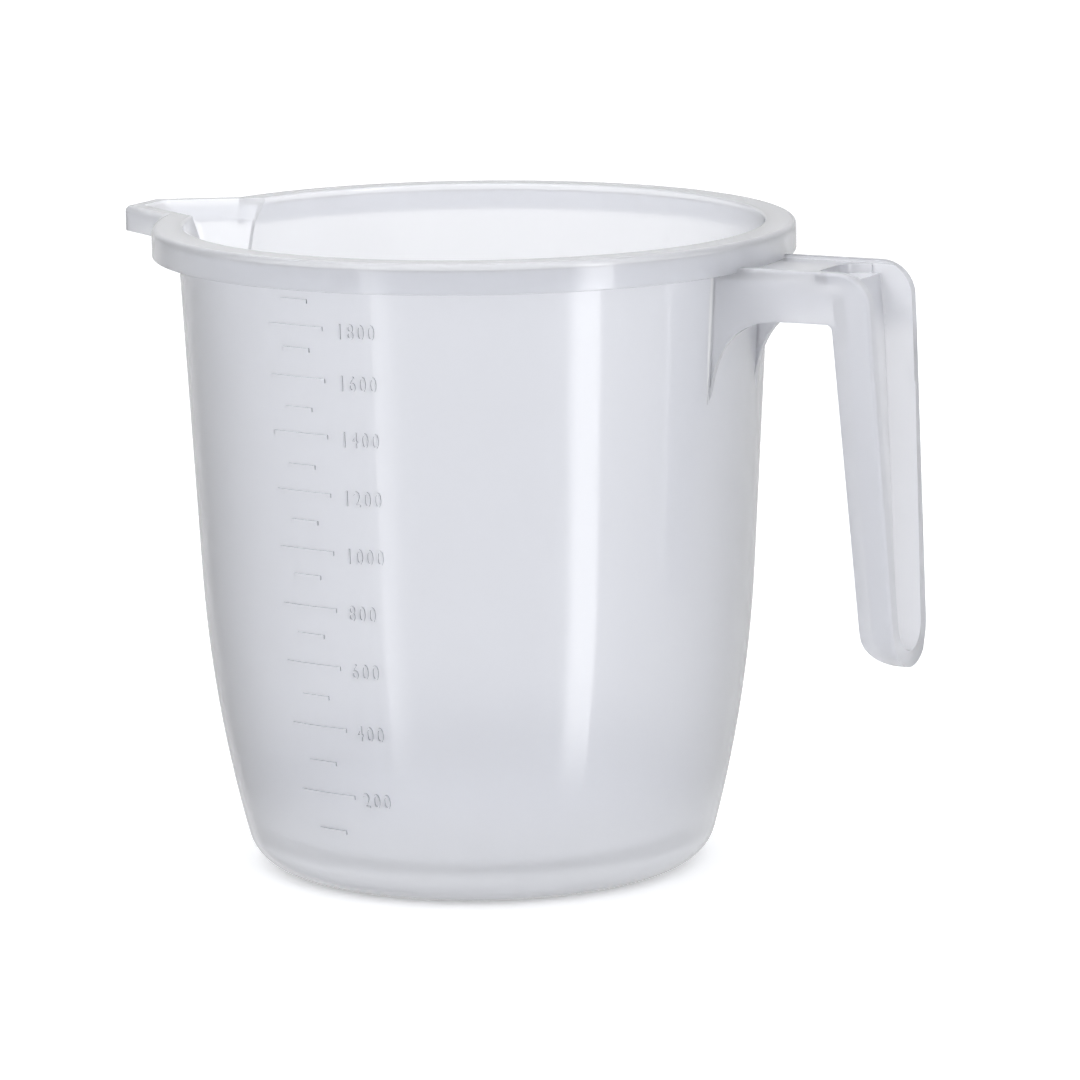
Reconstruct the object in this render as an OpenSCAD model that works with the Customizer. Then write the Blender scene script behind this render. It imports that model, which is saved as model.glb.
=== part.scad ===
// Two litre measuring jug, injection moulded in one translucent plastic.
// Origin: on the vessel's axis, in the plane that the foot stands on.
// +Z up, the handle towards +X, the pouring lip towards -X.

/* [Vessel] */
// Height of the top of the rim above the table
rim_h = 158.5; // [150:0.5:175]
// Outer radius of the wall, carried up to the top of the rim
mouth_r = 72.5; // [70:0.5:78]
// Thickness of the moulded wall
wall = 1.6; // [1.2:0.1:2.4]
// Lean of the straight upper wall, in degrees
draft = 3; // [2:0.25:4]
// Lean of the wall where the belly turns into the bottom corner, in degrees
belly_lean = 14.8; // [12:0.2:18]
// Radius of the long curve of the belly, seen from the side
belly_r = 322; // [260:2:360]
// Radius of the outer bottom corner
corner_r = 10; // [8:0.5:13]

/* [Bottom] */
// Height of the hollow under the floor
recess_h = 4.8; // [3:0.2:6]
// Thickness of the floor
floor_t = 2.4; // [1.8:0.1:3]
// Width of the ring that the jug stands on
foot_w = 3.1; // [2.4:0.1:6]
// Radius of the fillet between the floor and the inside of the wall
floor_fillet = 9; // [6:0.5:12]
// Height up to which the bottom bowl reaches
bowl_h = 22; // [18:1:28]

/* [Rim] */
// How far the rim reaches past the wall carried up to its top
rim_w = 6.1; // [5:0.1:9]
// Thickness of the rim's flat top
flange_t = 1.8; // [1.4:0.1:2.4]
// Height of the turned down skirt, from the top of the rim
skirt_h = 7.3; // [6:0.1:10]
// Thickness of the skirt
skirt_t = 1.5; // [1.2:0.1:2]
// Radius on the rim's outer top edge
rim_edge_r = 1.5; // [0.6:0.1:1.5]

/* [Pouring lip] */
// How far the lip's tip reaches past the round rim
lip_out = 16; // [12:0.5:24]
// Half width of the lip's tip
lip_half_w = 7.4; // [6:0.2:9]
// Angle of each side of the lip to the centre plane, in degrees
lip_side = 31.8; // [28:0.5:36]
// Height of the skirt round the lip, from the top of the rim
lip_skirt_h = 6.3; // [5:0.1:8]
// Width of the flat round the lip's mouth
lip_flat = 4.6; // [3.6:0.1:5.5]
// Depth of the sloped pour edge below the rim
pour_h = 5.9; // [4:0.1:8]
// Depth below the rim at which the channel of the lip runs out into the wall
channel_h = 44; // [34:1:56]

/* [Handle] */
// Drop from the rim's top to the top edge of the handle's cheeks
arm_drop = 6; // [4.5:0.5:12]
// Depth of the arm
arm_h = 12.3; // [11:0.1:15]
// How far the arm reaches past the wall carried up to the rim's top
handle_out = 38.2; // [34:0.2:46]
// Depth of the grip at its top, from the jug's side to the open side
grip_d = 9.8; // [9:0.1:13]
// Lean of the grip's open side, in degrees
grip_lean = 3.1; // [1:0.1:5]
// Lean of the grip's jug side, in degrees
grip_back_lean = 4.1; // [3:0.1:5.5]
// Half width of the handle over its cheeks, at the arm
handle_half_w = 14.2; // [13:0.2:17]
// Taper of each side of the grip, in degrees
grip_taper = 2.9; // [1:0.1:3.5]
// Height of the handle, from the top of the arm to the end of the grip
grip_l = 95.7; // [84:0.1:106]
// Thickness of the cheeks
cheek_t = 2.3; // [1.8:0.1:3]
// Thickness of the web, the top plate and the floor of the slot
web_t = 2.2; // [1.8:0.1:3]
// Radius of the cheeks' outer top corner
elbow_r = 8.5; // [6:0.5:10]
// Radius of the curve from the arm's underside down to the vessel
gusset_r = 17; // [12:0.5:20]
// Drop from the top of the arm to where the gussets run out on the wall
gusset_drop = 38; // [30:0.5:44]
// Length of the slot, from its closed end to the end of the arm
slot_l = 16.2; // [13:0.1:19]

/* [Scale] */
// Step between neighbouring marks, in millilitres
mark_step = 100; // [50:50:100]
// Highest mark, in millilitres
mark_last = 2000; // [1800:100:2000]
// Height of a mark's bar
mark_h = 1; // [0.6:0.1:1.2]
// How far a bar stands proud of the wall
mark_proud = 0.35; // [0.2:0.05:0.6]
// Angle of the middle of the scale, counted from the handle, in degrees
mark_mid = -99.2; // [-110:0.2:-80]
// Length of a long bar along the wall
mark_long = 16; // [12:0.5:20]
// Length of a short bar along the wall
mark_short = 7.8; // [5:0.1:10]

/* [Hidden] */

$fn = 96;
// Sides of the small round shapes
small_fn = 32;
// Steps in which a curve worked out by a formula is drawn, and a small edge
arc_steps = 24;
edge_steps = 6;
// Overrun of a cutting shape past what it cuts
over = 1;
// Thickness of the thin slices between which the lip is blended
slice = 0.01;
// Angles in degrees, and millilitres in a cubic millimetre
half_turn = 180;
full_turn = 360;
right_angle = 90;
ml_per_mm3 = 0.001;

// Vessel profile: a bottom corner, a long belly curve and a straight leaning wall
corner_top = corner_r * (1 - sin(belly_lean));
belly_top = corner_top + belly_r * (sin(belly_lean) - sin(draft));
belly_top_r = mouth_r - (rim_h - belly_top) * tan(draft);
belly_c = [belly_top_r - belly_r * cos(draft), belly_top + belly_r * sin(draft)];
corner_c = [belly_c[0] + (belly_r - corner_r) * cos(belly_lean), corner_r];

// Floor: a fillet that touches the floor and the inside of the belly
floor_z = recess_h + floor_t;
fillet_reach = belly_r - wall - floor_fillet;
fillet_z = floor_z + floor_fillet;
fillet_c = [belly_c[0] + sqrt(pow(fillet_reach, 2) - pow(belly_c[1] - fillet_z, 2)), fillet_z];
fillet_lean = asin((belly_c[1] - fillet_z) / fillet_reach);

// Foot
recess_r = corner_c[0] - foot_w;

// Rim
rim_r = mouth_r + rim_w;
flange_z = rim_h - flange_t;
skirt_z = rim_h - skirt_h;
mouth_in_r = mouth_r - wall / cos(draft);
rim_in_edge_r = rim_edge_r / 2;

// Pouring lip
lip_reach = rim_r + lip_out;
lip_half_deg = 15.5;
lip_root_share = 0.78;
lip_corner_r = 2.6;
lip_overhang = rim_r - mouth_in_r;
pour_tip_set = 12.9;
pour_z = rim_h - pour_h;
channel_low_half_w = 2.2;
channel_low_z = rim_h - channel_h;

// Handle, seen from the side
arm_z = rim_h - arm_drop;
under_z = arm_z - arm_h;
tip_z = arm_z - grip_l;
handle_reach = mouth_r + handle_out;
grip_in_x = handle_reach + arm_h * tan(grip_lean) - grip_d;
tip_half_w = handle_half_w - (under_z - tip_z - handle_half_w) * tan(grip_taper);
tip_step = 0.9;
tip_r = grip_d - tip_step;
end_z = tip_z + tip_half_w;
gusset_z = arm_z - gusset_drop;
gusset_start = wall_x(gusset_z, handle_half_w);
gusset_c = [wall_x(under_z - gusset_r, handle_half_w) + gusset_r, under_z - gusset_r];
plate_drop = 0.9;
plate_z = arm_z - plate_drop;
slot_x = handle_reach - slot_l;
slot_ledge = 1.2;
slot_ledge_l = 6.5;
plate_end_x = slot_x + slot_ledge_l;
slot_floor_z = plate_z - web_t;
slot_corner_r = 3.5;

// Scale: the height of each mark comes from the volume inside the vessel below it
volume_steps = 80;
volume_table = [for (i = [0:volume_steps]) [volume_to(i), level(i)]];
mark_fn = 360;
long_deg = mark_long / mouth_r * half_turn / PI;
short_deg = mark_short / mouth_r * half_turn / PI;

// Points of an arc about c, from angle a to angle b below the horizontal
function arc(c, r, a, b, n = arc_steps) =
    [for (i = [0:n]) let (t = a + (b - a) * i / n) [c[0] + r * cos(t), c[1] - r * sin(t)]];

// Radius of the wall at height z, inset from its outer face
function wall_r(z, inset = 0) =
    let (top = belly_c[1] - (belly_r - inset) * sin(draft),
        low = belly_c[1] - (belly_r - inset) * sin(belly_lean))
    z >= top ? mouth_r - (rim_h - z) * tan(draft) - inset / cos(draft)
    : z >= low ? belly_c[0] + sqrt(pow(belly_r - inset, 2) - pow(belly_c[1] - z, 2))
    : corner_c[0] + sqrt(max(0, pow(corner_r - inset, 2) - pow(corner_c[1] - z, 2)));

// Distance along X at which the plane y meets the outside of the wall at height z
function wall_x(z, y) = sqrt(pow(wall_r(z), 2) - pow(y, 2));

// Inside radius at height z, with the fillet at the floor
function inside_r(z) =
    z < fillet_z - floor_fillet * sin(fillet_lean)
    ? fillet_c[0] + sqrt(max(0, pow(floor_fillet, 2) - pow(fillet_z - z, 2)))
    : wall_r(z, wall);

// Heights between floor and rim, and the volume in millilitres below each
function level(i) = floor_z + (rim_h - floor_z) * i / volume_steps;
function slab_ml(i) =
    let (a = inside_r(level(i - 1)), b = inside_r(level(i)))
    PI * (a * a + a * b + b * b) / 3 * (level(i) - level(i - 1)) * ml_per_mm3;
function volume_to(i) = i == 0 ? 0 : volume_to(i - 1) + slab_ml(i);
function mark_z(ml) = lookup(ml, volume_table);

// Outline of the full vessel, and of the space inside it
module outer_profile() {
    polygon(concat([[0, 0]], arc(corner_c, corner_r, right_angle, belly_lean),
        arc(belly_c, belly_r, belly_lean, draft), [[mouth_r, rim_h], [0, rim_h]]));
}

module inner_profile() {
    polygon(concat([[0, floor_z]], arc(fillet_c, floor_fillet, right_angle, fillet_lean),
        arc(belly_c, belly_r - wall, fillet_lean, draft),
        [[wall_r(rim_h + over, wall), rim_h + over], [0, rim_h + over]]));
}

module vessel_body() {
    rotate_extrude() outer_profile();
}

module vessel_space() {
    rotate_extrude() inner_profile();
}

// Shell of the vessel between two heights
module shell_between(low, high) {
    rotate_extrude()
    intersection() {
        difference() {
            outer_profile();
            inner_profile();
        }
        translate([0, low]) square([rim_r, high - low]);
    }
}

module bottom_bowl() {
    color([0.86, 0.88, 0.91])
    shell_between(recess_h, bowl_h);
}

module foot_ring() {
    color([0.84, 0.86, 0.9])
    difference() {
        rotate_extrude()
        intersection() {
            outer_profile();
            square([rim_r, recess_h]);
        }
        translate([0, 0, -over]) cylinder(h = recess_h + 2 * over, r = recess_r);
    }
}

module vessel_wall() {
    color([0.87, 0.89, 0.92])
    difference() {
        shell_between(bowl_h, flange_z);
        lip_mouth();
    }
}

// Turns a profile of the round rim from one side of the lip to the other
module rim_turn() {
    rotate([0, 0, lip_half_deg - half_turn])
    rotate_extrude(angle = full_turn - 2 * lip_half_deg) children();
}

module rim_flange() {
    low_in = wall_r(flange_z, wall);
    outer_edge = [rim_r - rim_edge_r, rim_h - rim_edge_r];
    inner_edge = [mouth_in_r + rim_in_edge_r, rim_h - rim_in_edge_r];
    color([0.84, 0.86, 0.89])
    rim_turn()
    polygon(concat([[low_in, flange_z], [rim_r, flange_z]],
        arc(outer_edge, rim_edge_r, 0, -right_angle, edge_steps),
        arc(inner_edge, rim_in_edge_r, -right_angle, -half_turn, edge_steps)));
}

module rim_skirt() {
    color([0.82, 0.84, 0.88])
    rim_turn()
    translate([rim_r - skirt_t, skirt_z]) square([skirt_t, flange_z - skirt_z]);
}

// The lip's outline in plan, drawn in by inset, with its root inside the vessel
module lip_plan(tip_inset, side_inset) {
    tip = lip_reach - tip_inset;
    half_w = lip_half_w - side_inset / cos(lip_side) + tip_inset * tan(lip_side);
    root = mouth_r * lip_root_share;
    root_w = half_w + (tip - root) * tan(lip_side);
    polygon([[-tip, -half_w], [-tip, half_w], [-root, root_w], [-root, -root_w]]);
}

module rounded(r) {
    offset(r = r, $fn = small_fn) offset(delta = -r) children();
}

// The whole rim's outline with the lip, drawn in by inset
module rim_plan(inset) {
    offset(delta = -inset)
    union() {
        rounded(lip_corner_r) lip_plan(0, 0);
        circle(r = rim_r);
    }
}

// The part of the plan that belongs to the lip
module lip_sector() {
    far = 2 * rim_r;
    polygon([[0, 0], [-far, -far * tan(lip_half_deg)], [-far, far * tan(lip_half_deg)]]);
}

module plan_slice(z, tip_inset, side_inset) {
    translate([0, 0, z])
    linear_extrude(slice)
    rounded(lip_corner_r) lip_plan(tip_inset, side_inset);
}

// The space that the liquid runs through, grown by grow to give the channel's outside
module lip_space(grow, top_z) {
    low_x = wall_r(channel_low_z, wall) - channel_low_half_w;
    hull() {
        plan_slice(top_z, lip_flat - grow, lip_flat - grow);
        plan_slice(pour_z, pour_tip_set - grow, lip_overhang - grow);
    }
    hull() {
        plan_slice(pour_z, pour_tip_set - grow, lip_overhang - grow);
        translate([-low_x, 0, channel_low_z])
        cylinder(h = slice, r = channel_low_half_w + grow, $fn = small_fn);
    }
}

module lip_mouth() {
    lip_space(0, rim_h);
}

module lip_flange() {
    color([0.84, 0.86, 0.89])
    difference() {
        translate([0, 0, flange_z])
        linear_extrude(flange_t)
        intersection() {
            rim_plan(0);
            lip_sector();
        }
        vessel_space();
        lip_mouth();
    }
}

module lip_skirt() {
    lip_skirt_z = rim_h - lip_skirt_h;
    color([0.82, 0.84, 0.88])
    translate([0, 0, lip_skirt_z])
    linear_extrude(flange_z - lip_skirt_z)
    intersection() {
        difference() {
            rim_plan(0);
            rim_plan(skirt_t);
        }
        lip_sector();
    }
}

module lip_channel() {
    color([0.87, 0.89, 0.92])
    difference() {
        intersection() {
            lip_space(wall, rim_h);
            translate([0, 0, channel_low_z - over])
            linear_extrude(flange_z - channel_low_z + over)
            rim_plan(skirt_t);
        }
        lip_mouth();
        vessel_body();
    }
}

// A flat outline in X and Z, made solid across the handle
module across(half_w) {
    rotate([right_angle, 0, 0])
    linear_extrude(2 * half_w, center = true) children();
}

// X of the grip's open side and of its jug side at height z
function open_x(z) = handle_reach + (arm_z - z) * tan(grip_lean);
function back_x(z) = grip_in_x + (under_z - z) * tan(grip_back_lean);

// Side view of the handle, drawn in by inset on its jug side and underside
module handle_side(inset) {
    bend = tip_z + tip_r;
    elbow_c = [open_x(arm_z - elbow_r) - elbow_r, arm_z - elbow_r];
    tip_c = [back_x(bend) + tip_r, bend];
    polygon(concat([[mouth_r / 2, arm_z]],
        arc(elbow_c, elbow_r, -right_angle, grip_lean),
        [[open_x(tip_z), tip_z]],
        arc(tip_c, tip_r - inset, right_angle, half_turn),
        [[back_x(under_z) + inset, under_z + inset], [mouth_r / 2, under_z + inset]]));
}

// Side view of the gussets under the arm
module gusset_side() {
    polygon(concat([[mouth_r / 2, arm_z], [gusset_c[0], arm_z]],
        arc(gusset_c, gusset_r, -right_angle, -half_turn),
        [[gusset_start, gusset_z], [mouth_r / 2, gusset_z]]));
}

// Front view of the handle in Y and Z, drawn in by inset
module handle_front(inset) {
    half_w = handle_half_w - inset;
    end_r = tip_half_w - inset;
    polygon(concat([[-half_w, arm_z + over], [-half_w, under_z]],
        arc([0, end_z], end_r, half_turn - grip_taper, grip_taper, 2 * arc_steps),
        [[half_w, under_z], [half_w, arm_z + over]]));
}

module along(length) {
    rotate([right_angle, 0, right_angle])
    linear_extrude(length) children();
}

// The handle's full solid shape, before it is hollowed
module handle_shape() {
    intersection() {
        across(handle_half_w + over)
        union() {
            handle_side(0);
            gusset_side();
        }
        along(2 * handle_reach) handle_front(0);
    }
}

// Keeps what lies beyond the vessel and below the rim
module outside_vessel() {
    difference() {
        children();
        vessel_body();
        translate([0, 0, skirt_z]) cylinder(h = rim_h, r = rim_r);
    }
}

// One cheek, on the side that sign gives
module handle_cheek(sign) {
    outside_vessel()
    intersection() {
        difference() {
            handle_shape();
            along(2 * handle_reach) handle_front(cheek_t);
        }
        translate([0, min(0, sign * rim_r), end_z]) cube([2 * handle_reach, rim_r, rim_h]);
    }
}

module handle_cheek_left() {
    color([0.83, 0.85, 0.89])
    handle_cheek(-1);
}

module handle_cheek_right() {
    color([0.83, 0.85, 0.89])
    handle_cheek(1);
}

// The plate that closes the top of the arm, with a shallow slot open to the elbow
module handle_top_plate() {
    color([0.84, 0.86, 0.89])
    outside_vessel()
    translate([0, 0, plate_z - web_t])
    linear_extrude(web_t)
    difference() {
        translate([0, cheek_t - handle_half_w])
        square([plate_end_x, 2 * (handle_half_w - cheek_t)]);
        slot_plan();
    }
}

// The slot in plan, with its closed end at slot_x
module slot_plan() {
    half_w = handle_half_w - cheek_t - slot_ledge;
    hull() {
        for (side = [-1, 1])
        translate([slot_x + slot_corner_r, side * (half_w - slot_corner_r)])
        circle(r = slot_corner_r, $fn = small_fn);
        translate([handle_reach, -half_w]) square([slot_corner_r, 2 * half_w]);
    }
}

// Side view of the slot's floor, which turns down into the web of the grip
module web_side() {
    floor_low_z = slot_floor_z - web_t;
    web_in = web_t / cos(grip_back_lean);
    polygon([[slot_x - web_t, floor_low_z], [back_x(floor_low_z), floor_low_z],
        [back_x(end_z), end_z], [back_x(end_z) + web_in, end_z],
        [back_x(slot_floor_z) + web_in, slot_floor_z], [slot_x - web_t, slot_floor_z]]);
}

module handle_web() {
    color([0.85, 0.87, 0.9])
    intersection() {
        across(handle_half_w) web_side();
        along(2 * handle_reach) handle_front(cheek_t);
    }
}

// The closed, rounded end of the grip
module handle_tip() {
    color([0.83, 0.85, 0.89])
    difference() {
        intersection() {
            handle_shape();
            translate([grip_in_x, -rim_r, 0]) cube([rim_r, 2 * rim_r, end_z]);
        }
        intersection() {
            across(handle_half_w) handle_side(web_t);
            along(2 * handle_reach) handle_front(cheek_t);
        }
    }
}

// One raised bar on the wall at height z, as long as deg
module mark_bar(z, deg) {
    rotate([0, 0, mark_mid - deg / 2])
    rotate_extrude(angle = deg)
    translate([wall_r(z) - wall / 2, z - mark_h / 2])
    square([wall / 2 + mark_proud, mark_h]);
}

// Bars from the first to the last mark that stays clear of the rim's skirt
module mark_bars(first, step, deg) {
    $fn = mark_fn;
    difference() {
        for (ml = [first:step:mark_last])
        if (mark_z(ml) + mark_h < skirt_z) mark_bar(mark_z(ml), deg);
        vessel_body();
    }
}

module long_marks() {
    color([0.8, 0.82, 0.86])
    mark_bars(2 * mark_step, 2 * mark_step, long_deg);
}

module short_marks() {
    color([0.8, 0.82, 0.86])
    mark_bars(mark_step, 2 * mark_step, short_deg);
}

bottom_bowl();
foot_ring();
vessel_wall();
rim_flange();
rim_skirt();
lip_flange();
lip_skirt();
lip_channel();
handle_cheek_left();
handle_cheek_right();
handle_top_plate();
handle_web();
handle_tip();
long_marks();
short_marks();
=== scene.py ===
import bpy
from math import asin, cos, pi, radians, sin, sqrt, tan
from mathutils import Matrix, Vector


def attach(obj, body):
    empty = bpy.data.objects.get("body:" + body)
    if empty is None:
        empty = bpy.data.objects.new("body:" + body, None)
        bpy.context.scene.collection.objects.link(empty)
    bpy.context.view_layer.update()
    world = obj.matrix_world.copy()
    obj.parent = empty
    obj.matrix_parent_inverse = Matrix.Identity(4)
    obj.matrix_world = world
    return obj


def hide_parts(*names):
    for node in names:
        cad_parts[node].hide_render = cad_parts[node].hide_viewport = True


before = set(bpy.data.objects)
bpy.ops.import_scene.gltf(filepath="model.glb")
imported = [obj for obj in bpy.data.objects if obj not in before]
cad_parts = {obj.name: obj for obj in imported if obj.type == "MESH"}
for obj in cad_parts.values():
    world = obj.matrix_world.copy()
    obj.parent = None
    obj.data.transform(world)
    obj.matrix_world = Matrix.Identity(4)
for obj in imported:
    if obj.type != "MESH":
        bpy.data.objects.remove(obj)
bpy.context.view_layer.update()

# ---------------------------------------------------------------- sizes, in millimetres and radians
MM = 0.001
TURNS = 240  # facets round the axis
WELD = 5e-6  # in metres: corners nearer than this become one
FAR = 170.0  # a height above the whole jug, for cuts that run out at the top
SEAT = 0.04  # how far a cut stops short of a face, so that none lie in one plane

# vessel
RIM_H = 158.5
MOUTH_R = 72.5
WALL = 1.6
DRAFT = radians(3)
BELLY_LEAN = radians(14.8)
BELLY_R = 322.0
CORNER_R = 10.0
RECESS_H = 4.8
FLOOR_Z = 7.2
FLOOR_FILLET = 9.0
FOOT_W = 3.1
STRAIGHT_Z = (95, 118, 140)  # heights drawn on the straight part of the wall

# rim
RIM_R = 78.6
FLANGE_Z = RIM_H - 1.8
SKIRT_Z = RIM_H - 7.3
SKIRT_T = 1.5
SKIRT_EDGE = 0.3
SKIRT_ROOT = 0.7
RIM_EDGE = 1.5
MOUTH_EDGE = 0.7
MOUTH_IN_R = MOUTH_R - WALL / cos(DRAFT)

# pouring lip
LIP_REACH = 94.6
LIP_HALF_W = 7.4
LIP_SIDE = radians(31.8)
LIP_SKIRT_Z = RIM_H - 6.3
LIP_FLAT = 4.6
LIP_CORNER = 2.6
POUR_SET = 12.9
POUR_Z = RIM_H - 5.9
RUNOUT_Z = RIM_H - 44
RUNOUT_R = 2.2
LIP_ROOT = 55.0  # how near the axis the lip's outline ends
UNDER_SKIRT = 140.0  # a height below every skirt, where cuts under the rim start

# handle
ARM_Z = 152.5
UNDER_Z = 140.2
TIP_Z = 56.8
REACH = 110.7
GRIP_IN_X = 101.566
OPEN_LEAN = radians(3.1)
BACK_LEAN = radians(4.1)
HANDLE_W = 14.2  # half the width
TAPER = radians(2.9)
TAPER_Z = 139.7  # where the width starts to shrink
CHEEK = 2.3
WEB = 2.2
END_Z = 67.49  # where the rounded end starts
ELBOW_R = 8.5
ELBOW_C = (REACH - ELBOW_R * (1 - tan(OPEN_LEAN)), ARM_Z - ELBOW_R)
TIP_R = 8.9
INNER_R = 1.5
GUSSET_X, GUSSET_Z = 21.6, 29.0
EDGE_R = 0.9
GROOVE_R = 0.8
GROOVE_NARROWS = 1.7
PAD = 0.75  # how much thicker a cheek is at the elbow
PAD_C, PAD_R = (96, 124.5), 15.0
PLATE_Z = ARM_Z - 0.9
SLOT_Z = PLATE_Z - WEB
SLOT_X = REACH - 16.2
SLOT_END_R = 7.0
SLOT_EDGE = 1.2
ROOT_FILLET = ((UNDER_Z - 21, 0.08), (UNDER_Z - 13, 0.5), (UNDER_Z - 6, 0.75), (150.5, 0.75))  # height and leg
SKIRT_CUT_Z = 151.5  # the vessel is as wide as its rim above this height, for the handle
INSIDE_X = 58.0  # inside the vessel's wall, where cuts of the arm start
BEYOND_X = 130.0  # further out than the handle, where cuts of it end
BLANK_HALF_W = 16.0  # wider than half the handle, for what is cut to its width later

# scale: height of each bar by its millilitres
MARKS = {100: 17.64, 200: 27.02, 300: 35.09, 400: 43.91, 500: 51.62, 600: 59.35, 700: 66.76, 800: 73.55, 900: 81.18,
         1000: 87.44, 1100: 94.45, 1200: 101.42, 1300: 107.91, 1400: 115.54, 1500: 121.77, 1600: 129.03,
         1700: 136.02, 1800: 141.39, 1900: 147.7, 2000: 154.0}
PROUD = 0.45
SUNK = 0.5
LONG_BAR, SHORT_BAR, BAR_HALF_H = 15.8, 7.8, 0.5
BARS_START = radians(-98.9)
NUMERALS_START = radians(-89.6)
NUMERAL_SIZE, NUMERAL_PITCH, NUMERAL_SQUEEZE = 5.35, 2.62, 0.74
NUMERAL_DROP = 1.95  # from a numeral's middle to its foot
SCALE_LOW, SCALE_TOP, SCALE_SIDE = 15, 151, 25  # the part of the wall where the scale lies

# ---------------------------------------------------------------- plastic
SHARP = 32  # degrees past which an edge is shaded as one
VESSEL_LOOK = ((0.957, 0.966, 1.0), 0.29, 0.88)  # colour, roughness, clearness
HANDLE_LOOK = ((0.916, 0.924, 0.966), 0.33, 0.52)
# painted shade: a dark look for the flanks of the raised scale
FLANK_SHADE_LOOK = ((0.5, 0.51, 0.55), 0.4, 0.5)
ELBOW_LOOK = ((0.915, 0.923, 0.96), 0.33, 0.45)
# painted light: a lighter, milkier look that lifts the shade where a cheek meets the wall
ROOT_LIGHTENING_LOOK = ((0.98, 0.985, 1.0), 0.33, 0.2)
FOOT_HAZE, BASE_HAZE, RIM_HAZE, LIP_HAZE = 0.5, 0.15, 0.1, 0.12
# painted light on the handle: its far cheek and the top of its arm are made clearer so they read lighter
PAINTED_BACKLIGHT_HAZE, PAINTED_TOP_LIGHT_HAZE = -0.34, -0.16
UNEVEN = 0.06  # how far the haze wanders
UNEVEN_GLOSS = 0.4  # how much of that the roughness follows

# ---------------------------------------------------------------- light, in the world's own levels
ROOM = 0.88
FLOOR_GLOW = 0.3
LAMPS = [("top", (0, 0, 1.6), (0, 0, 0.1), (1.2, 1.2), 6.6),
         ("mouth", (0.005, -0.05, 0.27), (-0.05, 0.053, 0.09), (0.12, 0.08), 0.3)]
# the gloss sees a dim room and these: level, azimuths where one starts and is full, where it leaves off and ends;
# the bright ones end short of the floor and the ceiling
DIM = 0.4
BOXES = [(0.25, (82, 92), (142, 152)), (0.3, (-12, -4), (84, 92)), (3.6, (-28, -21.5), (-12.8, -12.4)),
         (1.9, (-103.6, -103.2), (-102.8, -91))]

# ---------------------------------------------------------------- the vessel's profile
CORNER_TOP = CORNER_R * (1 - sin(BELLY_LEAN))
BELLY_TOP = CORNER_TOP + BELLY_R * (sin(BELLY_LEAN) - sin(DRAFT))
BELLY_C = (MOUTH_R - (RIM_H - BELLY_TOP) * tan(DRAFT) - BELLY_R * cos(DRAFT),
           BELLY_TOP + BELLY_R * sin(DRAFT))
CORNER_C = (BELLY_C[0] + (BELLY_R - CORNER_R) * cos(BELLY_LEAN), CORNER_R)
FILLET_REACH = BELLY_R - WALL - FLOOR_FILLET
FILLET_C = (BELLY_C[0] + sqrt(FILLET_REACH ** 2 - (BELLY_C[1] - FLOOR_Z - FLOOR_FILLET) ** 2),
            FLOOR_Z + FLOOR_FILLET)
FILLET_LEAN = asin((BELLY_C[1] - FILLET_C[1]) / FILLET_REACH)


def arc(centre, radius, start, end, steps):
    """Points of an arc, its angles counted downwards from the +X side."""
    return [(centre[0] + radius * cos(start + (end - start) * i / steps),
             centre[1] - radius * sin(start + (end - start) * i / steps)) for i in range(steps + 1)]


def wall_radius(z):
    """Outer radius of the wall at a height."""
    if z >= BELLY_TOP:
        return MOUTH_R - (RIM_H - z) * tan(DRAFT)
    if z >= CORNER_TOP:
        return BELLY_C[0] + sqrt(BELLY_R ** 2 - (BELLY_C[1] - z) ** 2)
    return CORNER_C[0] + sqrt(max(0, CORNER_R ** 2 - (CORNER_R - z) ** 2))


# ---------------------------------------------------------------- mesh helpers
def clear_selection():
    bpy.ops.object.select_all(action="DESELECT")


def choose(*pieces):
    """Selects these objects alone; the first is the active one."""
    clear_selection()
    for piece in pieces:
        piece.select_set(True)
    bpy.context.view_layer.objects.active = pieces[0]


def edit(piece):
    choose(piece)
    bpy.ops.object.mode_set(mode="EDIT")


def leave_edit():
    bpy.ops.object.mode_set(mode="OBJECT")


def settle(piece):
    """The piece's place goes into its mesh, and its object to the origin."""
    choose(piece)
    bpy.ops.object.transform_apply(location=True, rotation=True, scale=True)


def draw_line(name, points, closed=False):
    """A vertex at the first point, extruded along the rest; the mesh stays in edit mode, all selected."""
    at = [Vector(p) * MM for p in points]
    clear_selection()
    bpy.ops.mesh.primitive_plane_add(size=MM, location=at[0])
    piece = bpy.context.object
    piece.name = piece.data.name = name
    bpy.ops.object.mode_set(mode="EDIT")
    bpy.ops.mesh.select_mode(type="VERT")
    bpy.ops.mesh.select_all(action="SELECT")
    bpy.ops.mesh.merge(type="CENTER")
    for a, b in zip(at, at[1:]):
        bpy.ops.mesh.extrude_vertices_move(TRANSFORM_OT_translate={"value": b - a})
    bpy.ops.mesh.select_all(action="SELECT")
    if closed:
        bpy.ops.mesh.edge_face_add()
    return piece


def finished(piece, weld=0):
    """Ends edit mode on a closed solid: welded, its faces outwards, its place in the mesh."""
    bpy.ops.mesh.select_all(action="SELECT")
    if weld:
        bpy.ops.mesh.remove_doubles(threshold=weld)
    bpy.ops.mesh.normals_make_consistent(inside=False)
    leave_edit()
    settle(piece)
    return piece


def turned(name, profile):
    """A closed solid, turned from a profile that starts and ends on the axis."""
    piece = draw_line(name, [(r, 0, z) for r, z in profile])
    bpy.ops.mesh.spin(steps=TURNS, angle=2 * pi, center=(0, 0, 0), axis=(0, 0, 1))
    return finished(piece, 2e-6)


def prism(name, points, push):
    """A flat outline, extruded by push."""
    piece = draw_line(name, points, closed=True)
    bpy.ops.mesh.extrude_region_move(TRANSFORM_OT_translate={"value": Vector(push) * MM})
    return finished(piece)


def side_prism(name, outline, half_w):
    """An outline in X and Z, made solid across the handle."""
    return prism(name, [(x, -half_w, z) for x, z in outline], (0, 2 * half_w, 0))


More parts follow.
